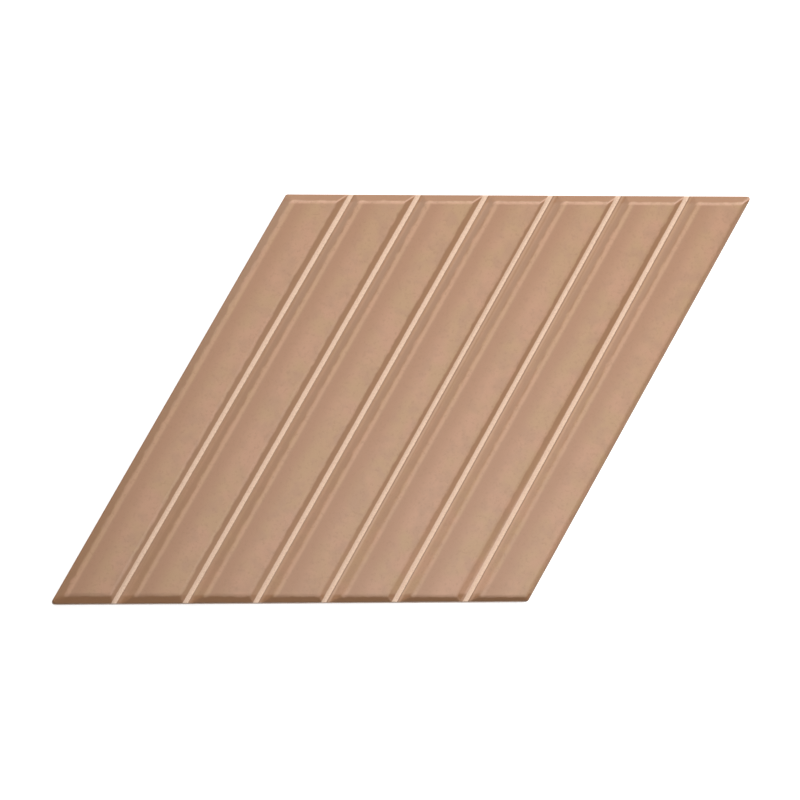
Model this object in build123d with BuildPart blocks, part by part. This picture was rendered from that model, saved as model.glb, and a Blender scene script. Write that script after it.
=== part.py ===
"""Rhombus wall tile with seven bevelled bars and six grooves, pressed and fired as one piece.

The tile lies on its back with its face up. The origin is the centre of the bed, +X runs along
the two sides that cross the bars, +Y runs up the face, and +Z comes out of it.
All lengths are in millimetres and all angles in degrees.
"""
import os
from math import atan, cos, degrees, radians, sin, tan

from build123d import *

# Outline
side_length = 152.0  # each of the four sides, which is also the short diagonal
pointed_angle = 60.0  # the two pointed corners
corner_radius = 0.8  # upright corners, rounded in plan
thickness = 8.5  # bed to the top of the bars

# Relief of the face
groove_count = 6
joint_width = 2.1  # flat bottom of a groove, square across it
groove_depth = 1.2
bevel_width = 2.2  # one bevel, square across it and seen from above
arris_radius = 2.0  # soft turn from a bevel into the top of its bar and into the next bevel

# Sides
land_height = 3.0  # upright band just under the bevels
side_draft = 4.0  # below that band the sides lean in towards the bed

# Keyed back
cell_count = 8  # recessed cells along each side
cell_depth = 0.7
cell_rib = 3.6  # bed left standing between two cells
cell_rim = 6.0  # bed left standing round all the cells
cell_draft = 30.0
bed_chamfer = 0.5  # height of the broken edge round the bed
bed_chamfer_angle = 40.0

# Worked out from the sizes above
bar_count = groove_count + 1
slant = sin(radians(pointed_angle))  # turns a length along +X into one square across the bars
groove_floor = thickness - groove_depth
joint_run = joint_width / slant
bar_run = (side_length - groove_count * joint_run) / bar_count
bar_pitch = bar_run + joint_run
bevel_angle = degrees(atan(groove_depth / bevel_width))
drafted_height = groove_floor - land_height
draft_inset = (drafted_height - bed_chamfer) * tan(radians(side_draft))
chamfer_inset = bed_chamfer * tan(radians(bed_chamfer_angle))
rim_run = (draft_inset + chamfer_inset + cell_rim) / slant
cell_pitch = (side_length - 2 * rim_run + cell_rib / slant) / cell_count
cell_run = cell_pitch - cell_rib / slant

# The two directions that every outline follows, and the tile's centre between them
along_row = Vector(1, 0)
along_bar = Vector(cos(radians(pointed_angle)), sin(radians(pointed_angle)))


def rhomboid(row_length, bar_length):
    """The four corners of a slanted outline about its own centre."""
    row_half = along_row * (row_length / 2)
    bar_half = along_bar * (bar_length / 2)
    return [-row_half - bar_half, row_half - bar_half, row_half + bar_half, bar_half - row_half]


def spread(count, pitch):
    """Distances from the centre of evenly spaced places."""
    return [(index - (count - 1) / 2) * pitch for index in range(count)]


# The die cavity sets the plan outline: upright walls with rounded corners
with BuildSketch(Plane.XY.offset(groove_floor)) as plan:
    Polygon(*rhomboid(side_length, side_length), align=None)
    fillet(plan.vertices(), radius=corner_radius)

# The bars as the upper punch leaves them: each a shallow hipped block with mitred bevels
with BuildPart() as bars:
    for offset_along_row in spread(bar_count, bar_pitch):
        bar_centre = along_row * offset_along_row
        with BuildSketch(Plane.XY.offset(groove_floor)):
            with Locations(bar_centre):
                Polygon(*rhomboid(bar_run, side_length), align=None)
        with BuildSketch(Plane.XY.offset(thickness)):
            with Locations(bar_centre):
                Polygon(*rhomboid(bar_run, side_length), align=None)
            offset(amount=-bevel_width, kind=Kind.INTERSECTION)
        loft()
    arrises = bars.edges().filter_by(lambda edge: edge.bounding_box().max.Z > thickness - groove_depth / 2)
    fillet(arrises, radius=arris_radius)

with BuildPart() as tile:
    # Upright band, then the drafted body and the broken edge down to the bed
    add(plan.sketch)
    extrude(amount=-land_height)
    land_foot = tile.faces().sort_by(Axis.Z)[0]
    extrude(land_foot, amount=drafted_height - bed_chamfer, taper=side_draft)
    draft_foot = tile.faces().sort_by(Axis.Z)[0]
    extrude(draft_foot, amount=bed_chamfer, taper=bed_chamfer_angle)

    # Bars on top, trimmed at the corners by the same outline as the body
    add(bars.part)
    trim = extrude(plan.sketch, amount=thickness, both=True, mode=Mode.PRIVATE)
    add(trim, mode=Mode.INTERSECT)

    # Keyed back: rows of shallow cells that leave the bed as a lattice of ribs and a rim
    with BuildSketch(Plane.XY):
        cell_places = [
            along_row * row_step + along_bar * bar_step
            for row_step in spread(cell_count, cell_pitch)
            for bar_step in spread(cell_count, cell_pitch)
        ]
        with Locations(*cell_places):
            Polygon(*rhomboid(cell_run, cell_run), align=None)
    extrude(amount=cell_depth, taper=cell_draft, mode=Mode.SUBTRACT)

tile.part.label = "tile"
os.makedirs("parts", exist_ok=True)
export_step(tile.part, "parts/tile.step")

print(f"bar {bar_run * slant:.2f} mm wide over its bevels, bevels at {bevel_angle:.1f} degrees")
print(f"volume {tile.part.volume:.0f} mm3, size {tile.part.bounding_box().size}")
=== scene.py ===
# %% [markdown]
# This lesson dresses a ceramic wall tile. The real tile is a 60 degree rhombus, pressed from one
# charge of clay: a steel punch gives it seven bevelled bars with six grooves between them, glaze
# is poured over the face, a printer lays a pale line in each groove like a grout joint, and one
# firing joins it all. So there is one piece to make, and nearly all of the work is in its soft
# edges and its glaze.
#
# The solid from the drawing is the frame: it gives the outline and the thickness, and the piece
# that is modelled here stands in its place.

from math import atan, cos, pi, radians, sin, tan

import bmesh
import bpy
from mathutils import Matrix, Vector


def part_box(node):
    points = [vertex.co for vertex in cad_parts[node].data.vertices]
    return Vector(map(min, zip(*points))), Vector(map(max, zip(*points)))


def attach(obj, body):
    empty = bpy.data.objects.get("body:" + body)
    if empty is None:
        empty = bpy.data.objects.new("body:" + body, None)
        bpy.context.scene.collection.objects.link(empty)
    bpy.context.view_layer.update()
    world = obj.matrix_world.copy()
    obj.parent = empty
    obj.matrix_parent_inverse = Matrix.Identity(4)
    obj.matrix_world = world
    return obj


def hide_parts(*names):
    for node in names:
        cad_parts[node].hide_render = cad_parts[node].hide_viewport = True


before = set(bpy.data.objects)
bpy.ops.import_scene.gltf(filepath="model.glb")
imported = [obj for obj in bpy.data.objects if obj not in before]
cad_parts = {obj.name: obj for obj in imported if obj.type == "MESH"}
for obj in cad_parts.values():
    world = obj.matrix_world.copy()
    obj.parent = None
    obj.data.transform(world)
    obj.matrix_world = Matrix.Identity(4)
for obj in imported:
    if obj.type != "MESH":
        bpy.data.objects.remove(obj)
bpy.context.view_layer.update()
bed_corner, crown_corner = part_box("tile")

MM = 0.001
POINTED_ANGLE = radians(60)
slant = sin(POINTED_ANGLE)
lean = cos(POINTED_ANGLE)
thickness = crown_corner.z - bed_corner.z
half_band = (crown_corner.y - bed_corner.y) / 2

# Three ways to measure a place: up the face, square across the bars, and out of the face
UP = Vector((0, 1, 0))
ACROSS = Vector((slant, -lean, 0))
OUT = Vector((0, 0, 1))

print(f"side {2 * half_band / slant / MM:.1f} mm, thickness {thickness / MM:.1f} mm")

# %% [markdown]
# These are the sizes of the pressing, as a tile maker would give them. A groove is a flat floor
# between two flanks, and every bar has the same bevel on all of its four sides, so the bevels
# meet in mitres at the bars' corners. A punch never sits dead centre in its die, so the whole
# relief is shifted a little to the right. The bars are pressed a touch low here, because the
# glaze later swells their middles up to the full thickness of the tile.

# %% Sizes of the pressing
GROOVES = 6
BARS = GROOVES + 1
JOINT = 2.1 * MM
GROOVE_DEPTH = 1.2 * MM
BEVEL = 2.2 * MM
PRESS_SHIFT = 0.25 * MM
CROWN = 0.10 * MM
RIPPLE = 0.03 * MM

bar_width = (2 * half_band - GROOVES * JOINT) / BARS
pitch = bar_width + JOINT
groove_middles = [(index - (GROOVES - 1) / 2) * pitch + PRESS_SHIFT for index in range(GROOVES)]
bar_middles = [(index - (BARS - 1) / 2) * pitch + PRESS_SHIFT for index in range(BARS)]
floor_height = thickness - GROOVE_DEPTH
press_depth = GROOVE_DEPTH - CROWN - RIPPLE
crown_height = floor_height + press_depth

print(f"bars {bar_width / MM:.2f} mm wide over their bevels, every {pitch / MM:.2f} mm")

# %% [markdown]
# A few small hands-on tools come first. `only` makes one object the selected one, because a
# command in Blender acts on all that is selected. `pick` selects vertices, edges or faces in
# edit mode by a test on their place, which is how a script points at things, and `middle` and
# `rise` are measures for such tests.


# %% Tools for selecting
def only(piece):
    """Leaves edit mode, deselects everything and makes this piece the selected one."""
    if bpy.context.object and bpy.context.object.mode != "OBJECT":
        bpy.ops.object.mode_set(mode="OBJECT")
    bpy.ops.object.select_all(action="DESELECT")
    piece.select_set(True)
    bpy.context.view_layer.objects.active = piece


def pick(kind, test):
    """In edit mode, selects the vertices, edges or faces that pass the test, and counts them."""
    mesh = bpy.context.edit_object.data
    bpy.ops.mesh.select_mode(type=kind)
    bpy.ops.mesh.select_all(action="DESELECT")
    cage = bmesh.from_edit_mesh(mesh)
    elements = {"VERT": cage.verts, "EDGE": cage.edges, "FACE": cage.faces}[kind]
    chosen = [element for element in elements if test(element)]
    for element in chosen:
        element.select = True
    cage.select_flush_mode()
    bmesh.update_edit_mesh(mesh, loop_triangles=False, destructive=False)
    return len(chosen)


def everything(element):
    """A test that all elements pass."""
    return True


def middle(element):
    """The middle of an edge, or of a face."""
    if isinstance(element, bmesh.types.BMEdge):
        return (element.verts[0].co + element.verts[1].co) / 2
    return element.calc_center_median()


def rise(edge):
    """How much an edge climbs."""
    return abs(edge.verts[0].co.z - edge.verts[1].co.z)


# %% [markdown]
# The punch and the die both start as a flat rhombus. A plane is scaled to its height, and then
# its upper side is moved to the right and its lower side to the left. `cut` is the bisect tool,
# which divides faces along a plane, and it is used wherever something has to start or stop.


# %% Tools for the outline and for cutting
def start_rhombus(name, half, height):
    """A flat rhombus with its sides at this distance from the centre, left open in edit mode."""
    bpy.ops.object.select_all(action="DESELECT")
    bpy.ops.mesh.primitive_plane_add(size=2)
    sheet = bpy.context.active_object
    sheet.name = name
    only(sheet)
    bpy.ops.object.mode_set(mode="EDIT")
    pick("VERT", everything)
    bpy.ops.transform.resize(value=(half / slant, half, 1), center_override=(0, 0, 0))
    bpy.ops.transform.translate(value=(0, 0, height))
    for end in (-1, 1):
        pick("VERT", lambda vertex: vertex.co.y * end > 0)
        bpy.ops.transform.translate(value=(end * half / tan(POINTED_ANGLE), 0, 0))
    return sheet


def cut(face_test, direction, distances):
    """Bisects the faces that pass the test with one plane at each distance along the direction."""
    for distance in distances:
        pick("FACE", face_test)
        bpy.ops.mesh.bisect(plane_co=direction * distance, plane_no=direction)


# %% [markdown]
# The face is what the upper punch presses, so it is modelled as the punch is cut: a sheet that
# is larger than the tile, divided along the grooves, with the bars inset and raised. One inset
# gives all four bevels of a bar and their mitres at once. The bars run a hair past the outline,
# so that the die can trim them cleanly later.

# %% Press the bars
SKIRT = 4 * MM
OVERRUN = 0.05 * MM

bar_end = half_band + OVERRUN
groove_edges = [groove + edge for groove in groove_middles for edge in (-JOINT / 2, JOINT / 2)]

punched = start_rhombus("punched_face", half_band + SKIRT, floor_height)
cut(everything, ACROSS, [-bar_end, bar_end])
cut(everything, ACROSS, groove_edges)
cut(everything, UP, [-bar_end, bar_end])


def is_bar(face):
    """Whether a face of the sheet is one that becomes a bar."""
    place = middle(face)
    inside = abs(place.y) < bar_end and abs(place.dot(ACROSS)) < bar_end
    return inside and all(abs(place.dot(ACROSS) - groove) > JOINT / 2 for groove in groove_middles)


bars_found = pick("FACE", is_bar)
bpy.ops.mesh.inset(thickness=BEVEL, depth=press_depth, use_individual=True, use_even_offset=True)
print(f"{bars_found} bars raised by {press_depth / MM:.2f} mm")

# %% [markdown]
# Seen closely, the bevels along the outline aren't all alike: those on the left and at the top
# are wider, the one on the right is narrower, and along the bottom they narrow from left to
# right. So the corners of the bars' tops are simply pushed along: sideways at the two outer
# sides, and in the bars' own direction at their ends, which keeps the grooves straight.

# %% Make the outer bevels uneven
LEFT_EXTRA = 0.75 * MM
RIGHT_LESS = 0.65 * MM
TOP_EXTRA = 0.65 * MM
BOTTOM_EXTRA_LEFT = 0.75 * MM
BOTTOM_EXTRA_RIGHT = -0.50 * MM
TINY = 0.01 * MM

along_bar = Vector((1 / tan(POINTED_ANGLE), 1, 0))
sideways = Vector((1 / slant, 0, 0))


def push(test, direction, distance):
    """Moves the corners of the bars' tops that pass the test."""
    pick("VERT", lambda vertex: vertex.co.z > crown_height - TINY and test(vertex.co))
    bpy.ops.transform.translate(value=direction * distance)


for number, bar in enumerate(bar_middles):
    share = number / (BARS - 1)
    bottom_extra = BOTTOM_EXTRA_LEFT + (BOTTOM_EXTRA_RIGHT - BOTTOM_EXTRA_LEFT) * share
    push(lambda place: abs(place.dot(ACROSS) - bar) < pitch / 2 and place.y > 0, along_bar, -TOP_EXTRA)
    push(lambda place: abs(place.dot(ACROSS) - bar) < pitch / 2 and place.y < 0, along_bar, bottom_extra)
    print(f"bar {number + 1}: bottom bevel {(BEVEL + bottom_extra) / MM:.2f} mm wide")
push(lambda place: place.dot(ACROSS) < bar_middles[0], sideways, LEFT_EXTRA)
push(lambda place: place.dot(ACROSS) > bar_middles[-1], sideways, RIGHT_LESS)

# %% [markdown]
# Raw arrises would look like folded card. Glaze and wear of the punch make them a soft turn, and
# glaze also gathers at the foot of each flank. The bevel tool rounds the first with several
# narrow strips and fills the second in the same way, because it works on inside corners too. It
# asks how far to cut back on each side of an edge, and the radius follows from that and from the
# angle between the faces.

# %% Soften the arrises, the mitres and the groove feet
ARRIS_TURN = 0.60 * MM
FOOT_TURN = 0.40 * MM

arrises = pick("EDGE", lambda edge: max(v.co.z for v in edge.verts) > floor_height + TINY)
bpy.ops.mesh.bevel(offset=ARRIS_TURN, segments=6, affect="EDGES", clamp_overlap=True)


def is_groove_foot(edge):
    """Whether an edge runs along the foot of a flank."""
    place = middle(edge)
    level = rise(edge) < TINY and abs(place.z - floor_height) < TINY
    along = abs((edge.verts[1].co - edge.verts[0].co).dot(ACROSS)) < TINY
    beside = min(abs(abs(place.dot(ACROSS) - groove) - JOINT / 2) for groove in groove_middles)
    return level and along and beside < TINY and abs(place.y) < bar_end


feet = pick("EDGE", is_groove_foot)
bpy.ops.mesh.bevel(offset=FOOT_TURN, segments=3, affect="EDGES", clamp_overlap=True)
bevel_slope = atan(press_depth / BEVEL)
print(f"{arrises} arris edges and {feet} groove feet rounded")
print(f"radius of an arris {ARRIS_TURN / tan(bevel_slope / 2) / MM:.1f} mm")

# %% [markdown]
# The sheet becomes a thick block, so that it can be trimmed as a solid. Its open border is
# extruded down past the bed and closed with one face.

# %% Close the punched face into a block
block_depth = 2 * thickness

pick("EDGE", lambda edge: len(edge.link_faces) == 1)
bpy.ops.mesh.extrude_region_move(TRANSFORM_OT_translate={"value": (0, 0, -block_depth)})
bpy.ops.mesh.edge_face_add()
pick("FACE", everything)
bpy.ops.mesh.normals_make_consistent(inside=False)
only(punched)
print(f"punched block: {len(punched.data.polygons)} faces")

# %% [markdown]
# The die is the other half of the tool. Its walls give the outline: a plumb band at the top that
# faces the grout, a slight draft below it so that the tile comes out, and a broken edge round
# the bed. Its floor presses the keyed back, which is a lattice of shallow cells that the
# adhesive grips. The sizes run inwards from the frame's outline, so the bed's comes last.

# %% Sizes of the die
LAND = 3.0 * MM
SIDE_DRAFT = radians(4)
BED_CHAMFER = 0.5 * MM
CHAMFER_LEAN = radians(40)
CORNER_RADIUS = 0.8 * MM
CELLS = 8
CELL_DEPTH = 0.7 * MM
CELL_RIB = 3.6 * MM
CELL_RIM = 6.0 * MM
CELL_DRAFT = radians(30)
CELL_TURN = 0.9 * MM

draft_height = floor_height - LAND - BED_CHAMFER
draft_half = half_band - draft_height * tan(SIDE_DRAFT)
bed_half = draft_half - BED_CHAMFER * tan(CHAMFER_LEAN)
cell_pitch = (2 * (bed_half - CELL_RIM) + CELL_RIB) / CELLS
cell_width = cell_pitch - CELL_RIB
cell_edges = [
    (index - (CELLS - 1) / 2) * cell_pitch + edge * cell_width / 2
    for index in range(CELLS)
    for edge in (-1, 1)
]
print(f"bed {2 * bed_half / slant / MM:.1f} mm along a side, cells {cell_width / MM:.1f} mm wide")

# %% [markdown]
# The back is pressed as the bars were: a rhombus is cut along the sides of the cells, and each
# cell is inset and sunk by itself. The faces of the sheet are turned to point down first, as a
# back's do, so that sinking goes up into the tile. The slanted corners of the cells are rounded.

# %% Press the keyed back
die = start_rhombus("die", bed_half, 0)
cut(everything, ACROSS, cell_edges)
cut(everything, UP, cell_edges)
pick("FACE", everything)
bpy.ops.mesh.normals_make_consistent(inside=False)
bpy.ops.mesh.flip_normals()


def is_cell(face):
    """Whether a face of the sheet is a cell, and not a rib or the rim."""
    place = middle(face)
    steps = [(distance / cell_pitch + (CELLS - 1) / 2) for distance in (place.y, place.dot(ACROSS))]
    on_pattern = all(-0.5 < step < CELLS - 0.5 for step in steps)
    return on_pattern and all(abs(step - round(step)) * cell_pitch < cell_width / 2 for step in steps)


cells_found = pick("FACE", is_cell)
cell_slope = CELL_DEPTH * tan(CELL_DRAFT)
bpy.ops.mesh.inset(thickness=cell_slope, depth=-CELL_DEPTH, use_individual=True, use_even_offset=True)
pick("EDGE", lambda edge: rise(edge) > CELL_DEPTH / 2)
bpy.ops.mesh.bevel(offset=CELL_TURN, segments=3, affect="EDGES", clamp_overlap=True)
print(f"{cells_found} cells, {CELL_DEPTH / MM:.1f} mm deep")

# %% [markdown]
# The walls rise from the open border of the sheet, one extrusion for each stretch, spread to the
# stretch's own size. At the top they roll inwards in three steps, because on the fired tile the
# glaze turns over the edge softly, and then they lean away over the bars without touching them.

# %% Raise the walls of the die
OUTER_TURN = 0.32 * MM
OUTER_STEPS = 3

outer_sweep = pi / 2 - bevel_slope
outer_radius = OUTER_TURN / tan(outer_sweep / 2)


def raise_wall(new_half, old_half, height):
    """Extrudes the open border upwards and spreads it to its new size."""
    pick("EDGE", lambda edge: len(edge.link_faces) == 1)
    bpy.ops.mesh.extrude_region_move(TRANSFORM_OT_translate={"value": (0, 0, height)})
    spread = new_half / old_half
    bpy.ops.transform.resize(value=(spread, spread, 1), center_override=(0, 0, 0))


raise_wall(draft_half, bed_half, BED_CHAMFER)
raise_wall(half_band, draft_half, draft_height)
raise_wall(half_band, half_band, LAND - OUTER_TURN)
last_inset, last_height = 0, 0
for step in range(1, OUTER_STEPS + 1):
    angle = outer_sweep * step / OUTER_STEPS
    inset, height = outer_radius * (1 - cos(angle)), outer_radius * sin(angle)
    raise_wall(half_band - inset, half_band - last_inset, height - last_height)
    last_inset, last_height = inset, height
raise_wall(half_band - last_inset - GROOVE_DEPTH, half_band - last_inset, GROOVE_DEPTH)
bpy.ops.mesh.edge_face_add()
print(f"radius of the outer edge {outer_radius / MM:.1f} mm")

# %% [markdown]
# A die's corners are never sharp, and neither are a tile's. For the same radius a pointed corner
# has to be cut back further than a blunt one, so the bevel tool runs once for each kind, with a
# width worked out from the radius and the angle through which the wall turns there.


# %% Round the upright corners
def corner_edge(pointed):
    """A test for the upright edges at the pointed corners, or at the blunt ones."""

    def test(edge):
        for vertex in edge.verts:
            up, across = vertex.co.y, vertex.co.dot(ACROSS)
            if abs(abs(up) - abs(across)) > TINY or (up * across > 0) != pointed:
                return False
        return rise(edge) > TINY and abs(middle(edge).y) > bed_half - GROOVE_DEPTH

    return test


for pointed, turn in ((True, pi - POINTED_ANGLE), (False, POINTED_ANGLE)):
    corners = pick("EDGE", corner_edge(pointed))
    cut_back = CORNER_RADIUS * tan(turn / 2)
    bpy.ops.mesh.bevel(offset=cut_back, segments=6, affect="EDGES", clamp_overlap=False)
    print(f"{corners} upright edges rounded at the {'pointed' if pointed else 'blunt'} corners")
pick("FACE", everything)
bpy.ops.mesh.normals_make_consistent(inside=False)
only(die)
print(f"die: {len(die.data.polygons)} faces")

# %% [markdown]
# Pressing the two together leaves the space that both of them enclose, which is what a boolean
# intersection keeps. The tile takes its face from the punch, and its walls and back from the
# die.

# %% Press the tile
only(punched)
trim = punched.modifiers.new("die", "BOOLEAN")
trim.operation = "INTERSECT"
trim.solver = "EXACT"
trim.object = die
bpy.ops.object.modifier_apply(modifier=trim.name)
bpy.data.objects.remove(die)
tile = punched
tile.name = "rhombus_tile"
print(f"pressed tile: {len(tile.data.vertices)} vertices, {len(tile.data.polygons)} faces")

# %% [markdown]
# Glaze and clay are never quite flat: a bar is a little fuller in its middle, and the whole face
# has faint waves. To bend, a face needs vertices, so the bars are cut into columns and the face
# into rows, before any of it is moved.

# %% Divide the face into columns and rows
COLUMN = 1.15 * MM
ROW = 1.30 * MM
COLUMNS = 9
UPWARDS = 0.3

row_reach = half_band - BEVEL - TOP_EXTRA - 2 * ARRIS_TURN
rows = round(2 * row_reach / ROW)
bar_columns = [(column - (COLUMNS - 1) / 2) * COLUMN for column in range(COLUMNS)]
columns_across = [bar + column for bar in bar_middles for column in bar_columns]
rows_up = [(2 * row / rows - 1) * row_reach for row in range(rows + 1)]


def faces_up(face):
    """Whether a face belongs to the glazed face of the tile."""
    return face.normal.z > UPWARDS and middle(face).z > floor_height / 2


only(tile)
bpy.ops.object.mode_set(mode="EDIT")
cut(faces_up, ACROSS, columns_across)
cut(faces_up, UP, rows_up)
only(tile)
print(f"{len(tile.data.polygons)} faces after {len(columns_across)} columns and {len(rows_up)} rows")

# %% [markdown]
# How far each vertex moves is a weight from 0 to 1, as in weight painting, but painted with a
# formula. The crown fades out to the arrises and to the ends of each bar, and the waves take in
# the whole face.

# %% Weights for the crown and the waves
END_FADE = 14 * MM

top_half = bar_width / 2 - BEVEL
crown = tile.vertex_groups.new(name="crown")
rippled = tile.vertex_groups.new(name="glazed")
for vertex in tile.data.vertices:
    if vertex.co.z > floor_height - OUTER_TURN:
        rippled.add([vertex.index], 1.0, "REPLACE")
    if vertex.co.z > crown_height - TINY:
        from_middle = min(abs(vertex.co.dot(ACROSS) - bar) for bar in bar_middles) / top_half
        from_end = min(1, max(0, half_band - BEVEL - abs(vertex.co.y)) / END_FADE)
        crown.add([vertex.index], max(0, 1 - from_middle**2) * (1 - (1 - from_end) ** 2), "REPLACE")
print(f"{len(tile.vertex_groups)} weights for {len(tile.data.vertices)} vertices")

# %% [markdown]
# A Displace modifier lifts the face by the first weight. A second one adds the waves, from a
# smooth Clouds texture, which is a formula too and not a picture. Then the shading is smoothed
# over all but the sharp edges, and weighted by area, so that the large flats stay flat to the
# eye and only the narrow strips turn.

# %% Swell the bars, ripple the glaze and smooth the shading
WAVE_SIZE = 9 * MM
SMOOTH_UNDER = radians(32)

swell = tile.modifiers.new("swell", "DISPLACE")
swell.direction = "Z"
swell.strength = CROWN
swell.mid_level = 0
swell.vertex_group = "crown"

waves = bpy.data.textures.new("glaze_waves", "CLOUDS")
waves.noise_scale = WAVE_SIZE
waves.noise_depth = 1
ripple = tile.modifiers.new("ripple", "DISPLACE")
ripple.direction = "Z"
ripple.texture = waves
ripple.texture_coords = "LOCAL"
ripple.strength = 2 * RIPPLE
ripple.mid_level = 0.5
ripple.vertex_group = "glazed"

bpy.ops.object.modifier_apply(modifier=swell.name)
bpy.ops.object.modifier_apply(modifier=ripple.name)
bpy.ops.object.shade_smooth_by_angle(angle=SMOOTH_UNDER)
weighting = tile.modifiers.new("shading", "WEIGHTED_NORMAL")
weighting.keep_sharp = True
bpy.ops.object.modifier_apply(modifier=weighting.name)
highest = max(vertex.co.z for vertex in tile.data.vertices)
print(f"highest point {highest / MM:.2f} mm of {thickness / MM:.2f} mm")

# %% [markdown]
# A fired tile shows three surfaces: the glazed face, the sides where the glaze runs over and
# stops, and the bare biscuit of the back. Their patterns are built from nodes, and these helpers
# keep that short. `paint` turns an ordinary screen colour into the linear one that a shader
# reads, and `add_node` adds a node and fills its inputs. The others are the sums, fades, blends
# and noises that every pattern here is made of.


# %% Helpers for colours and nodes
def paint(red, green, blue):
    """A screen colour from 0 to 255, as the linear colour that a shader reads."""
    linear = [((part / 255 + 0.055) / 1.055) ** 2.4 for part in (red, green, blue)]
    return (*linear, 1)


def add_node(tree, kind, inputs=None, **options):
    """Adds a node, sets its options, and fills its inputs with values or with other sockets."""
    node = tree.nodes.new(kind)
    for name, value in options.items():
        setattr(node, name, value)
    for name, value in (inputs or {}).items():
        if isinstance(value, bpy.types.NodeSocket):
            tree.links.new(value, node.inputs[name])
        else:
            node.inputs[name].default_value = value
    return node


def calc(tree, operation, *values):
    """A Math node."""
    return add_node(tree, "ShaderNodeMath", dict(enumerate(values)), operation=operation).outputs[0]


def product(tree, value, *others):
    """Multiplies two or more values."""
    for other in others:
        value = calc(tree, "MULTIPLY", value, other)
    return value


def all_but(tree, share, mask):
    """1, less this share where the mask is 1."""
    return calc(tree, "MULTIPLY_ADD", mask, -share, 1.0)


def distance_along(tree, place, direction):
    """How far a place lies from the centre of the bed in this direction."""
    inputs = {0: place, 1: tuple(direction)}
    return add_node(tree, "ShaderNodeVectorMath", inputs, operation="DOT_PRODUCT").outputs["Value"]


def fade(tree, value, start, end):
    """Runs smoothly from 0 at the start to 1 at the end."""
    ranges = {"Value": value, "From Min": start, "From Max": end}
    return add_node(tree, "ShaderNodeMapRange", ranges, interpolation_type="SMOOTHSTEP").outputs[0]


def blend(tree, factor, first, second):
    """Mixes two colours."""
    mix = add_node(tree, "ShaderNodeMix", {0: factor, 6: first, 7: second}, data_type="RGBA")
    return mix.outputs[2]


def between(tree, factor, first, second):
    """Mixes two values."""
    return add_node(tree, "ShaderNodeMix", {0: factor, 2: first, 3: second}).outputs[0]


def noise(tree, place, size, detail=2, roughness=0.5, offset=0):
    """Noise with blotches of about this size, in metres, centred on 0.5."""
    moved = add_node(tree, "ShaderNodeMapping", {"Vector": place, "Location": (offset, offset, offset)})
    texture = {"Vector": moved.outputs[0], "Scale": 1 / size, "Detail": detail, "Roughness": roughness}
    return add_node(tree, "ShaderNodeTexNoise", texture).outputs["Fac"]


def spots(tree, place, size, low, high, **looks):
    """Noise made into spots: 0 where it is under the low value, 1 where it is over the high one."""
    return fade(tree, noise(tree, place, size, **looks), low, high)


# %% [markdown]
# A node group is a pattern with a name and its own inputs and outputs, built once and placed in
# as many materials as need it. Each material has one Principled BSDF, and `dress` gives that its
# colour, its roughness and the height for its bumps.


# %% Helpers for groups and materials
def new_group(name, takes, gives):
    """A node group with named inputs and outputs: its tree, its inputs and its output node."""
    tree = bpy.data.node_groups.new(name, "ShaderNodeTree")
    for label, value in takes.items():
        kind = "Vector" if isinstance(value, tuple) else "Float"
        socket = tree.interface.new_socket(label, in_out="INPUT", socket_type=f"NodeSocket{kind}")
        socket.default_value = value
    for label, kind in gives.items():
        tree.interface.new_socket(label, in_out="OUTPUT", socket_type=f"NodeSocket{kind}")
    return tree, tree.nodes.new("NodeGroupInput").outputs, tree.nodes.new("NodeGroupOutput")


def hand_out(tree, result, values):
    """Links each value to the group's output of that name."""
    for label, value in values.items():
        tree.links.new(value, result.inputs[label])
    print(f"{tree.name}: {len(tree.nodes)} nodes")


def place_group(tree, group, inputs):
    """Puts a node group into a material and gives its outputs."""
    return add_node(tree, "ShaderNodeGroup", inputs, node_tree=group).outputs


def new_material(name):
    """A material, its tree, and the place on the object that its patterns start from."""
    material = bpy.data.materials.new(name)
    material.use_nodes = True
    tree = material.node_tree
    return material, tree, tree.nodes.new("ShaderNodeTexCoord").outputs["Object"]


def dress(material, color, roughness, height, strength, distance):
    """Gives the material's Principled BSDF its colour, its roughness, and bumps from the height."""
    tree = material.node_tree
    takes = tree.nodes["Principled BSDF"].inputs
    bump = add_node(tree, "ShaderNodeBump", {"Height": height, "Strength": strength, "Distance": distance})
    tree.links.new(color, takes["Base Color"])
    tree.links.new(roughness, takes["Roughness"])
    tree.links.new(bump.outputs[0], takes["Normal"])
    print(f"{material.name}: {len(tree.nodes)} nodes")


# %% [markdown]
# Colour on this tile follows the relief, because glaze is a thick liquid before it sets. So the
# first group finds out where a point is: how deep it lies under the tops of the bars, how far it
# is from the foot of its own bar, and how far from the outline. From that it makes masks, values
# from 0 to 1 that say how much of an effect there is. The bars repeat, so one remainder after
# dividing by their pitch serves all of them.

# %% Where a point is on the relief
LOWER_RIGHT = Vector((0.35, -0.94, 0))

relief, given, result = new_group(
    "relief",
    {"Place": (0.0, 0.0, 0.0)},
    dict.fromkeys(("Pooled and shade", "Thin and highlight", "Ridge highlight", "Shade behind", "End", "Rim shade"), "Float"),
)
place = given["Place"]
across = distance_along(relief, place, ACROSS)
up = distance_along(relief, place, UP)
lowered = distance_along(relief, place, LOWER_RIGHT)
depth = calc(relief, "SUBTRACT", crown_height, distance_along(relief, place, OUT))
from_left = calc(relief, "ADD", half_band, across)
from_right = calc(relief, "SUBTRACT", half_band, across)
from_top = calc(relief, "SUBTRACT", half_band, up)
from_side = calc(relief, "MINIMUM", from_left, from_right)
from_end = calc(relief, "SUBTRACT", half_band, calc(relief, "ABSOLUTE", up))

first_foot = bar_middles[0] - bar_width / 2
bars_along = calc(relief, "DIVIDE", calc(relief, "SUBTRACT", across, first_foot), pitch)
from_foot = product(relief, calc(relief, "FRACT", bars_along), pitch)
to_foot = calc(relief, "SUBTRACT", bar_width, from_foot)
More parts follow.
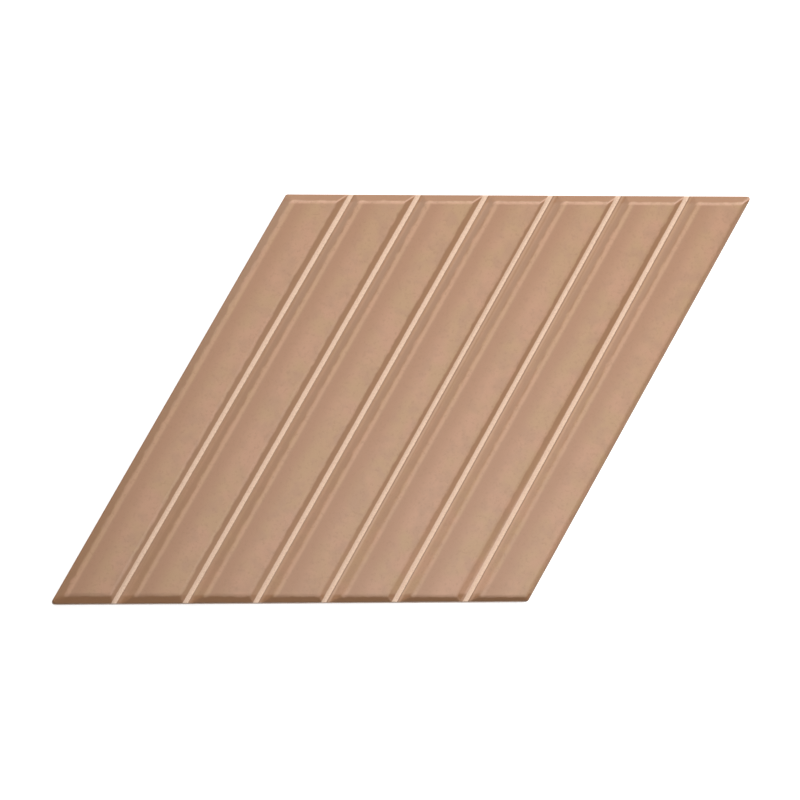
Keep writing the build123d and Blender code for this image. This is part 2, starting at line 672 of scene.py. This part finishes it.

# %% [markdown]
# Glaze pools in the grooves, on their flanks, and most on the bevels at the two ends of the
# bars, and it is darker there; the same mask also paints shade into these recesses. The depth at
# which the darkening starts wavers along each bar, which makes its border uneven, and on the left
# flanks it starts higher, close to the arris. Each range below is a pair: there is nothing of the
# effect at its first place and all of it at its second.

# %% Where glaze pools and shade is painted
POOL_START = 0.20 * MM
POOL_WAVER = 0.62 * MM
WAVER_SIZE = 4 * MM
POOL_DEPTH = (-0.09 * MM, 0.18 * MM)
LEFT_FLANK = (BEVEL + 0.8 * MM, BEVEL + 0.2 * MM)
LEFT_LIFT = 0.16 * MM
PAST_LEFT_SIDE = (2.5 * MM, 5.0 * MM)
END_BEVEL = (BEVEL + 0.8 * MM, BEVEL - 0.2 * MM)

inner = fade(relief, from_left, *PAST_LEFT_SIDE)
left_flank = product(relief, fade(relief, from_foot, *LEFT_FLANK), inner)
uneven = calc(relief, "SUBTRACT", noise(relief, place, WAVER_SIZE, detail=3), 0.5)
start = calc(relief, "MULTIPLY_ADD", uneven, POOL_WAVER, POOL_START)
start = calc(relief, "MULTIPLY_ADD", left_flank, -LEFT_LIFT, start)
pooled_and_shade = fade(relief, calc(relief, "SUBTRACT", depth, start), *POOL_DEPTH)
end = product(relief, pooled_and_shade, fade(relief, from_end, *END_BEVEL))

# %% [markdown]
# The pooled darkening and its painted shade are not equally strong everywhere. They fade
# towards the lower right and close to the right side. On a left flank they are weaker at its foot
# and on the groove's floor beside it, which faces up into the light, and lower down on the tile.
# Each of these takes a share off the mask.

# %% Where the pooled darkening and painted shade are weaker
RIGHT_SIDE = (0.3 * MM, 1.8 * MM)
LOWER_RIGHT_FADE = (10 * MM, 70 * MM)
LOWER_RIGHT_LOSS = 0.95
FLANK_FOOT = (1.0 * MM, 0.2 * MM)
FLOOR_RIGHT = (pitch - JOINT / 2, pitch - 0.6 * MM)
FLOOR_SHARE = 0.65
FOOT_LOSS = 0.45
LOW_FLANK_FADE = (-45 * MM, 30 * MM)
LOW_FLANK_LOSS = 0.30

upper_left_strength = all_but(relief, LOWER_RIGHT_LOSS, fade(relief, lowered, *LOWER_RIGHT_FADE))
floor_right = product(relief, fade(relief, from_foot, *FLOOR_RIGHT), FLOOR_SHARE)
foot = calc(relief, "MAXIMUM", fade(relief, from_foot, *FLANK_FOOT), floor_right)
weaker_at_foot = all_but(relief, FOOT_LOSS, product(relief, foot, inner))
weaker_low_flank = product(relief, fade(relief, lowered, *LOW_FLANK_FADE), left_flank)
weaker_low_flank = all_but(relief, LOW_FLANK_LOSS, weaker_low_flank)
at_right = fade(relief, from_right, *RIGHT_SIDE)
pooled_and_shade = product(relief, pooled_and_shade, at_right, upper_left_strength, weaker_at_foot, weaker_low_flank)

# %% [markdown]
# A painted highlight makes a fine pale line on the left arris of each bar, strongest at the upper
# left, with a slightly darker painted shade behind it on the top of the bar. The very rim of the
# tile is darker in patches, which is painted shade where the face turns down at the outline.

# %% The painted highlight on the arris, and the painted shade behind it and at the rim
ARRIS_FROM = (BEVEL - 0.1 * MM, BEVEL + 0.4 * MM)
ARRIS_TO = (BEVEL + 1.6 * MM, BEVEL + 0.9 * MM)
ARRIS_DEPTH = (0.40 * MM, 0.15 * MM)
ARRIS_LEAST = 0.1
BEHIND_FROM = (BEVEL + 1.0 * MM, BEVEL + 2.0 * MM)
BEHIND_TO = (BEVEL + 8.6 * MM, BEVEL + 2.4 * MM)
RIM = (0.75 * MM, 0.10 * MM)

stripe_of_arris = product(relief, fade(relief, from_foot, *ARRIS_FROM), fade(relief, from_foot, *ARRIS_TO))
by_upper_left = calc(relief, "MULTIPLY_ADD", upper_left_strength, 1 - ARRIS_LEAST, ARRIS_LEAST)
arris_highlight = product(relief, stripe_of_arris, fade(relief, depth, *ARRIS_DEPTH), by_upper_left)
shade_behind = product(relief, fade(relief, from_foot, *BEHIND_FROM), fade(relief, from_foot, *BEHIND_TO))
rim_shade = fade(relief, calc(relief, "MINIMUM", from_side, from_end), *RIM)

# %% [markdown]
# The ridge at the top end of each bar gets a painted highlight, a fine pale line, a little
# broken, and so does the mitre at the ridge's right end. A mitre is where the end bevel and the
# flank have climbed equally far, so the difference of the two climbs finds it.

# %% The painted highlight on the ridge and on its mitre
RIDGE_DEPTH = (0.30 * MM, 0.10 * MM)
RIDGE_LEAST = 0.40
RIDGE_MORE = 0.25
MITRE_WIDTH = (0.26, 0.05)
MITRE_DEPTH = (0.05 * MM, 0.15 * MM)
MITRE_STRENGTH = 0.9

top_arris = BEVEL + TOP_EXTRA
ridge_place = (top_arris + 0.65 * MM, top_arris + 0.05 * MM)
mitre_reach = (top_arris + 0.95 * MM, top_arris + 0.35 * MM)

broken = spots(relief, place, size=2 * MM, low=0.35, high=0.60)
broken = calc(relief, "MULTIPLY_ADD", broken, RIDGE_MORE, RIDGE_LEAST)
ridge_highlight = product(relief, fade(relief, from_top, *ridge_place), fade(relief, depth, *RIDGE_DEPTH), broken)
end_climb = calc(relief, "DIVIDE", from_top, top_arris)
flank_climb = calc(relief, "DIVIDE", to_foot, BEVEL)
off_mitre = calc(relief, "ABSOLUTE", calc(relief, "SUBTRACT", end_climb, flank_climb))
mitre_highlight = product(relief, fade(relief, off_mitre, *MITRE_WIDTH), fade(relief, depth, *MITRE_DEPTH))
mitre_highlight = product(relief, mitre_highlight, fade(relief, from_top, *mitre_reach), MITRE_STRENGTH)
ridge_highlight = calc(relief, "MAXIMUM", ridge_highlight, mitre_highlight)

masks = {"Pooled and shade": pooled_and_shade, "Thin and highlight": arris_highlight, "Ridge highlight": ridge_highlight, "Shade behind": shade_behind, "End": end, "Rim shade": rim_shade}
hand_out(relief, result, masks)

# %% [markdown]
# The glaze itself is a warm brown with faint pink and ochre clouds, a fine darker fleck, and the
# skin of an orange peel: tiny dimples that break up the shine. On top of that it lays the painted
# shade and the painted highlights that it is given. The face and the sides share this group, so
# the glaze is the same where it turns the corner.

# %% The glaze
GLAZE_PINK = paint(199, 154, 125)
GLAZE_OCHRE = paint(193, 155, 120)
GLAZE_DIM = paint(187, 147, 119)
GLAZE_FLECK = paint(170, 130, 100)
# Painted shade on the top of a bar just behind the arris highlight
PAINTED_SHADE_BEHIND = paint(183, 140, 111)
# Darker pooled glaze, together with painted shade in the grooves and on their flanks
POOLED_GLAZE_AND_SHADE = paint(172, 130, 98)
# Darker glaze on the end bevels, together with painted shade along the rim
DEEP_GLAZE_AND_SHADE = paint(169, 124, 90)
# Thinner glaze where the run ends on the sides, and a painted highlight on the face's arrises
THIN_GLAZE_AND_HIGHLIGHT = paint(207, 165, 135)
# A painted highlight on the top ridges and on their mitres
PAINTED_RIDGE_HIGHLIGHT = paint(214, 169, 142)
DIM_STRENGTH = 0.8
FLECK_STRENGTH = 0.35
GLAZE_ROUGHNESS = 0.32
ROUGHNESS_SPREAD = 0.12

glaze, given, result = new_group(
    "glaze",
    {"Place": (0.0, 0.0, 0.0), "Shade behind": 0.0, "Pooled and shade": 0.0, "Deep and shade": 0.0, "Thin and highlight": 0.0, "Ridge highlight": 0.0},
    {"Color": "Color", "Roughness": "Float", "Height": "Float"},
)
place = given["Place"]
clouds = spots(glaze, place, size=11 * MM, low=0.36, high=0.64)
dim = spots(glaze, place, size=5 * MM, low=0.42, high=0.70, detail=4, offset=0.3)
flecks = spots(glaze, place, size=0.8 * MM, low=0.50, high=0.75, detail=3, offset=0.7)

tint = blend(glaze, clouds, GLAZE_OCHRE, GLAZE_PINK)
layers = (
    (product(glaze, dim, DIM_STRENGTH), GLAZE_DIM),
    (given["Shade behind"], PAINTED_SHADE_BEHIND),
    (given["Pooled and shade"], POOLED_GLAZE_AND_SHADE),
    (given["Deep and shade"], DEEP_GLAZE_AND_SHADE),
    (given["Thin and highlight"], THIN_GLAZE_AND_HIGHLIGHT),
    (given["Ridge highlight"], PAINTED_RIDGE_HIGHLIGHT),
    (product(glaze, flecks, FLECK_STRENGTH), GLAZE_FLECK),
)
for mask, color in layers:
    tint = blend(glaze, mask, tint, color)

slow = noise(glaze, place, size=12 * MM, offset=0.5)
roughness = calc(glaze, "MULTIPLY_ADD", slow, ROUGHNESS_SPREAD, GLAZE_ROUGHNESS)
peel = noise(glaze, place, size=1.6 * MM, detail=1, offset=0.1)
hand_out(glaze, result, {"Color": tint, "Roughness": roughness, "Height": peel})

# %% [markdown]
# A printed line imitates the grout of a mosaic. The printer follows the grooves only roughly,
# so each line lies a little off the middle of its groove and drifts along it. Its edge is ragged
# on a small scale, and its ink is paler towards the right. On that side there are dark specks,
# and some lines have a whole dark border there, and beyond it a pale band of painted light on the
# groove's open floor. One group makes one line, and it is placed six times, each with its own shift.

# %% One printed joint line
LINE_WIDTH = 1.46 * MM
LINE_SOFT = 0.14 * MM
LINE_BORDER = 0.28 * MM
FLOOR_LIGHT_WIDTH = 0.70 * MM
LINE_RAGGED = 0.22 * MM
SPECK_STRENGTH = 0.7

joint_line, given, result = new_group(
    "joint line",
    {"Place": (0.0, 0.0, 0.0), "Groove": 0.0, "Shift low": 0.0, "Shift high": 0.0, "Border": 0.0},
    dict.fromkeys(("Line", "Paler", "Border", "Floor light"), "Float"),
)
place = given["Place"]
drift = {
    "Value": distance_along(joint_line, place, UP),
    "From Min": -half_band,
    "From Max": half_band,
    "To Min": given["Shift low"],
    "To Max": given["Shift high"],
}
shift = add_node(joint_line, "ShaderNodeMapRange", drift).outputs[0]
from_groove = calc(joint_line, "SUBTRACT", distance_along(joint_line, place, ACROSS), given["Groove"])
ragged = calc(joint_line, "SUBTRACT", noise(joint_line, place, size=0.9 * MM, detail=3), 0.5)
from_line = calc(joint_line, "SUBTRACT", from_groove, shift)
from_line = calc(joint_line, "MULTIPLY_ADD", ragged, LINE_RAGGED, from_line)

line_half = LINE_WIDTH / 2
off_line = calc(joint_line, "ABSOLUTE", from_line)
line = fade(joint_line, off_line, line_half + LINE_SOFT, line_half - LINE_SOFT)
paler = product(joint_line, line, fade(joint_line, from_line, -line_half, line_half))


def stripe(middle_of_stripe, width, strength):
    """A soft stripe of this width on the right of the line."""
    off_stripe = calc(joint_line, "ABSOLUTE", calc(joint_line, "SUBTRACT", from_line, middle_of_stripe))
    return product(joint_line, fade(joint_line, off_stripe, width, 0), strength)


specks = spots(joint_line, place, size=0.5 * MM, low=0.44, high=0.60, offset=0.6)
dark = calc(joint_line, "MAXIMUM", product(joint_line, specks, SPECK_STRENGTH), given["Border"])
border = stripe(line_half + LINE_BORDER / 2, LINE_BORDER, dark)
floor_light = stripe(line_half + LINE_BORDER + FLOOR_LIGHT_WIDTH / 2, FLOOR_LIGHT_WIDTH, given["Border"])
hand_out(joint_line, result, {"Line": line, "Paler": paler, "Border": border, "Floor light": floor_light})

# %% [markdown]
# The face brings these together in the order in which the real one is made: glaze first, then
# the print on top of it.

# %% The glaze on the face
RIM_LEAST = 0.3
RIM_MORE = 0.6
ARRIS_HIGHLIGHT_STRENGTH = 0.55

glazed_face, tree, place = new_material("glazed_face")
where = place_group(tree, relief, {"Place": place})
# Patches of painted shade along the rim join the end bevels' darker glaze in the deep colour
patches = spots(tree, place, size=3 * MM, low=0.40, high=0.60, offset=0.8)
patches = calc(tree, "MULTIPLY_ADD", patches, RIM_MORE, RIM_LEAST)
glaze_inputs = {
    "Place": place,
    "Shade behind": where["Shade behind"],
    "Pooled and shade": where["Pooled and shade"],
    "Deep and shade": calc(tree, "MAXIMUM", where["End"], product(tree, where["Rim shade"], patches)),
    "Thin and highlight": product(tree, where["Thin and highlight"], ARRIS_HIGHLIGHT_STRENGTH),
    "Ridge highlight": where["Ridge highlight"],
}
glazed = place_group(tree, glaze, glaze_inputs)
print(f"{len(glaze_inputs)} inputs of the glaze follow the relief and the place")

# %% [markdown]
# Every groove gets its line. The six overlap nowhere, so the larger value of any two joins them
# into one print.

# %% The lines on the face
# Each line's shift from the middle of its groove at the low and the high end in mm, and its border
LINE_SHIFTS = (
    (-1.02, -0.05, 0.0),
    (-0.56, -0.29, 0.2),
    (-0.38, -0.41, 0.4),
    (-0.72, -1.23, 1.0),
    (-0.31, -1.09, 1.0),
    (0.31, -0.67, 0.9),
)

printed = {"Line": 0.0, "Paler": 0.0, "Border": 0.0, "Floor light": 0.0}
for groove, (low, high, border) in zip(groove_middles, LINE_SHIFTS):
    line_inputs = {
        "Place": place,
        "Groove": groove,
        "Shift low": low * MM,
        "Shift high": high * MM,
        "Border": border,
    }
    one_line = place_group(tree, joint_line, line_inputs)
    printed = {label: calc(tree, "MAXIMUM", value, one_line[label]) for label, value in printed.items()}
print(f"{len(LINE_SHIFTS)} printed lines")

# %% [markdown]
# The ink is paler and grainier than the glaze around it, and matt, and it stands up a little.
# The dark border and the painted light on the groove's floor lie under it.

# %% The finish of the face
LINE_LEFT = paint(230, 196, 170)
LINE_RIGHT = paint(246, 213, 186)
LINE_GRAIN = paint(222, 184, 156)
BORDER_DARK = paint(140, 102, 80)
# Painted light: a pale band on the open floor of the groove beyond a line's dark border
PAINTED_FLOOR_LIGHT = paint(208, 168, 138)
GRAIN_STRENGTH = 0.8
FLOOR_LIGHT_STRENGTH = 0.55
BORDER_STRENGTH = 0.7
INK_ROUGHNESS = 0.6
INK_STANDS = 1.2

grain = noise(tree, place, size=0.45 * MM, detail=3, roughness=0.7, offset=0.9)
ink = blend(tree, printed["Paler"], LINE_LEFT, LINE_RIGHT)
ink = blend(tree, product(tree, fade(tree, grain, 0.45, 0.66), GRAIN_STRENGTH), ink, LINE_GRAIN)
color = blend(tree, product(tree, printed["Floor light"], FLOOR_LIGHT_STRENGTH), glazed["Color"], PAINTED_FLOOR_LIGHT)
color = blend(tree, product(tree, printed["Border"], BORDER_STRENGTH), color, BORDER_DARK)
color = blend(tree, printed["Line"], color, ink)
roughness = between(tree, printed["Line"], glazed["Roughness"], INK_ROUGHNESS)
grainy = product(tree, printed["Line"], grain)
height = calc(tree, "MULTIPLY_ADD", grainy, INK_STANDS, glazed["Height"])
dress(glazed_face, color, roughness, height, strength=0.25, distance=0.05 * MM)

# %% [markdown]
# The back is biscuit: fired clay without glaze, matt and slightly sandy, buff with darker iron
# specks. The ribs carry a thin whitish wash that keeps a tile from sticking to the kiln rollers.

# %% The biscuit
BISCUIT = paint(205, 170, 142)
BISCUIT_DARK = paint(186, 148, 120)
IRON_SPECK = paint(120, 84, 62)
KILN_WASH = paint(228, 216, 202)
IRON_STRENGTH = 0.6
WASH_STRENGTH = 0.75
BISCUIT_ROUGHNESS = 0.82
SAND_ROUGHNESS = 0.1

biscuit, given, result = new_group(
    "biscuit",
    {"Place": (0.0, 0.0, 0.0), "Wash": 0.0},
    {"Color": "Color", "Roughness": "Float", "Height": "Float"},
)
place = given["Place"]
clouds = spots(biscuit, place, size=15 * MM, low=0.3, high=0.7, detail=4)
iron = spots(biscuit, place, size=0.8 * MM, low=0.74, high=0.80, detail=1, offset=0.4)
patchy = spots(biscuit, place, size=6 * MM, low=0.35, high=0.6, detail=5, roughness=0.7, offset=0.2)
clay = blend(biscuit, clouds, BISCUIT_DARK, BISCUIT)
clay = blend(biscuit, product(biscuit, iron, IRON_STRENGTH), clay, IRON_SPECK)
clay = blend(biscuit, product(biscuit, patchy, given["Wash"], WASH_STRENGTH), clay, KILN_WASH)
sand = noise(biscuit, place, size=0.35 * MM, detail=3, roughness=0.7)
roughness = calc(biscuit, "MULTIPLY_ADD", sand, SAND_ROUGHNESS, BISCUIT_ROUGHNESS)
hand_out(biscuit, result, {"Color": clay, "Roughness": roughness, "Height": sand})

# %% [markdown]
# The cells never touch the rollers, so the wash is only on the ribs and the rim, which a fade on
# the height tells apart.

# %% The keyed back
RIB_HEIGHT = (0.25 * MM, 0.05 * MM)

keyed_back, tree, place = new_material("keyed_back")
on_ribs = fade(tree, distance_along(tree, place, OUT), *RIB_HEIGHT)
bare = place_group(tree, biscuit, {"Place": place, "Wash": on_ribs})
dress(keyed_back, bare["Color"], bare["Roughness"], bare["Height"], strength=0.5, distance=0.08 * MM)

# %% [markdown]
# Glaze poured on the face runs a few millimetres down the sides and stops in an uneven border,
# thinner towards its end. Below that border the side is bare biscuit. One factor decides between
# the two, from the height and a slow noise along the side.

# %% The sides
RUN_OVER = 3.2 * MM
RUN_UNEVEN = 2.6 * MM
RUN_EDGE = (-0.35 * MM, 0.35 * MM)
RUN_THINS = (-1.6 * MM, -0.2 * MM)
TURN_DOWN = (-0.2 * MM, 0.6 * MM)

glazed_side, tree, place = new_material("glazed_side")
below_face = calc(tree, "SUBTRACT", floor_height, distance_along(tree, place, OUT))
slow = calc(tree, "SUBTRACT", noise(tree, place, size=9 * MM, detail=4), 0.5)
reach = calc(tree, "MULTIPLY_ADD", slow, 2 * RUN_UNEVEN, RUN_OVER)
past_run = calc(tree, "SUBTRACT", below_face, reach)
bare_clay = fade(tree, past_run, *RUN_EDGE)
run_inputs = {
    "Place": place,
    "Pooled and shade": fade(tree, below_face, *TURN_DOWN),
    "Thin and highlight": fade(tree, past_run, *RUN_THINS),
}
run = place_group(tree, glaze, run_inputs)
body = place_group(tree, biscuit, {"Place": place})
color = blend(tree, bare_clay, run["Color"], body["Color"])
roughness = between(tree, bare_clay, run["Roughness"], body["Roughness"])
height = between(tree, bare_clay, run["Height"], body["Height"])
dress(glazed_side, color, roughness, height, strength=0.4, distance=0.06 * MM)

# %% [markdown]
# Each face of the mesh takes its finish from where it points: upwards is the face, downwards
# and inside the cells is the back, and the rest is the sides.

# %% Give each surface its finish
WALL_LEAN = 0.25

only(tile)
tile.data.materials.clear()
for finish in (glazed_face, glazed_side, keyed_back):
    tile.data.materials.append(finish)


def on_side(face):
    """Whether a face belongs to the upright or drafted sides."""
    return abs(face.normal.z) <= WALL_LEAN and max(abs(v.co.z) for v in face.verts) > CELL_DEPTH + TINY


def on_back(face):
    """Whether a face belongs to the bed, its broken edge or its cells."""
    return middle(face).z < floor_height / 2 and not on_side(face)


bpy.ops.object.mode_set(mode="EDIT")
for slot, test in ((0, everything), (1, on_side), (2, on_back)):
    found = pick("FACE", test)
    tile.active_material_index = slot
    bpy.ops.object.material_slot_assign()
    print(f"{tile.data.materials[slot].name}: {found} faces")
only(tile)
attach(tile, "root")
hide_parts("tile")

# %% [markdown]
# The tile lies on a pale floor. The floor is white to the camera and to reflections, which asks
# Light Path what kind of ray it is, while it keeps a soft shadow under the tile. Seen from
# below it is clear, and it lets a lamp below shine through, so that the back can be looked at.
# It lies a hair under the bed, because two surfaces in one plane would flicker.

# %% The floor
FLOOR_REACH = 1.5
FLOOR_GLOW = 0.86
FLOOR_GREY = (0.55, 0.55, 0.55, 1)
FLOOR_GAP = 0.15 * MM

bpy.ops.object.select_all(action="DESELECT")
bpy.ops.mesh.primitive_plane_add(size=2 * FLOOR_REACH, location=(0, 0, -FLOOR_GAP))
floor = bpy.context.active_object
floor.name = "floor"
paper = bpy.data.materials.new("paper")
paper.use_nodes = True
tree = paper.node_tree
tree.nodes.clear()
rays = tree.nodes.new("ShaderNodeLightPath").outputs
from_below = tree.nodes.new("ShaderNodeNewGeometry").outputs["Backfacing"]
seen = calc(tree, "MAXIMUM", rays["Is Camera Ray"], rays["Is Glossy Ray"])
seen = calc(tree, "MAXIMUM", seen, rays["Is Transmission Ray"])
through = calc(tree, "MAXIMUM", from_below, rays["Is Shadow Ray"])
matt = add_node(tree, "ShaderNodeBsdfDiffuse", {"Color": FLOOR_GREY}).outputs[0]
glow = add_node(tree, "ShaderNodeEmission", {"Strength": product(tree, seen, FLOOR_GLOW)}).outputs[0]
lit = add_node(tree, "ShaderNodeAddShader", {0: matt, 1: glow}).outputs[0]
clear = tree.nodes.new("ShaderNodeBsdfTransparent").outputs[0]
surface = add_node(tree, "ShaderNodeMixShader", {0: through, 1: lit, 2: clear}).outputs[0]
add_node(tree, "ShaderNodeOutputMaterial", {"Surface": surface})
floor.data.materials.append(paper)
print(f"{floor.name}: {2 * FLOOR_REACH:.0f} m wide, {FLOOR_GAP / MM:.2f} mm under the bed")

# %% [markdown]
# The light is that of a product table: a bank of three soft windows round the top of the tile,
# brightest at the right, one lamp straight overhead and one low at the lower right, which makes
# the light fall off towards the lower left. A lamp's power falls off with the square of its
# distance, so each lamp is given the brightness that it makes on the tile, and its power is
# worked out from that. A weak lamp under the clear floor is only for looking at the back.


# %% The lights
def softbox(name, place, size, brightness):
    """A square soft light at this place, aimed at the tile."""
    bpy.ops.object.select_all(action="DESELECT")
    bpy.ops.object.light_add(type="AREA")
    lamp = bpy.context.active_object
    lamp.name = name
    lamp.location = place
    lamp.rotation_euler = lamp.location.to_track_quat("Z", "Y").to_euler()
    lamp.data.size = size
    lamp.data.energy = brightness * pi**2 * lamp.location.length_squared
    print(f"{name}: {lamp.data.energy:.2f} W")


# Each window's side, its turn from +X in degrees, its distance and its brightness
WINDOWS = (
    ("right", 45, 1.0, 0.56),
    ("top", 90, 1.0, 0.21),
    ("left", 125, 0.6, 0.24),
)
WINDOW_TILT = radians(55)
WINDOW_SIZE = 0.5

for side, turn, distance, brightness in WINDOWS:
    reach = distance * sin(WINDOW_TILT)
    place = (reach * cos(radians(turn)), reach * sin(radians(turn)), distance * cos(WINDOW_TILT))
    softbox(f"{side}_window", place, WINDOW_SIZE * distance, brightness)

# Each single lamp's name, place, size and brightness
LAMPS = (
    ("overhead", (0.03, 0.0, 0.45), 0.25, 0.13),
    ("low_lamp", (0.10, -0.10, 0.30), 0.25, 0.28),
    ("under_lamp", (0.15, -0.10, -0.90), 0.50, 0.45),
)
for name, place, size, brightness in LAMPS:
    softbox(name, place, size, brightness)

# %% [markdown]
# The room itself is white and dim. Its light comes from everywhere, so it keeps the shadows from
# going black and changes no colour.

# %% The room
ROOM_WHITE = (1, 1, 1, 1)
ROOM_LIGHT = 0.06

world = bpy.context.scene.world or bpy.data.worlds.new("room")
bpy.context.scene.world = world
world.use_nodes = True
world.node_tree.nodes["Background"].inputs["Color"].default_value = ROOM_WHITE
world.node_tree.nodes["Background"].inputs["Strength"].default_value = ROOM_LIGHT

# %% [markdown]
# The photo looks almost straight down on the face from about 130 centimetres, a little from the
# left and from below, which makes the lower side slightly longer than the upper one. The lens is
# a telephoto, so the sides stay nearly parallel.

# %% The camera
PICTURE = 800
FOCAL_PIXELS = 4012
SENSOR = 36
CAMERA_PLACE = (-0.1371, -0.1695, 1.2738)
CAMERA_TURN = (radians(7.58), radians(-6.03), radians(-0.03))

bpy.ops.object.select_all(action="DESELECT")
bpy.ops.object.camera_add(location=CAMERA_PLACE)
camera = bpy.context.active_object
camera.name = "camera"
camera.rotation_mode = "ZYX"
camera.rotation_euler = CAMERA_TURN
camera.data.sensor_width = SENSOR
camera.data.lens = SENSOR * FOCAL_PIXELS / PICTURE
bpy.context.scene.camera = camera
bpy.context.scene.view_settings.view_transform = "Standard"
print(f"lens {camera.data.lens:.0f} mm, {camera.location.length:.2f} m from the tile")
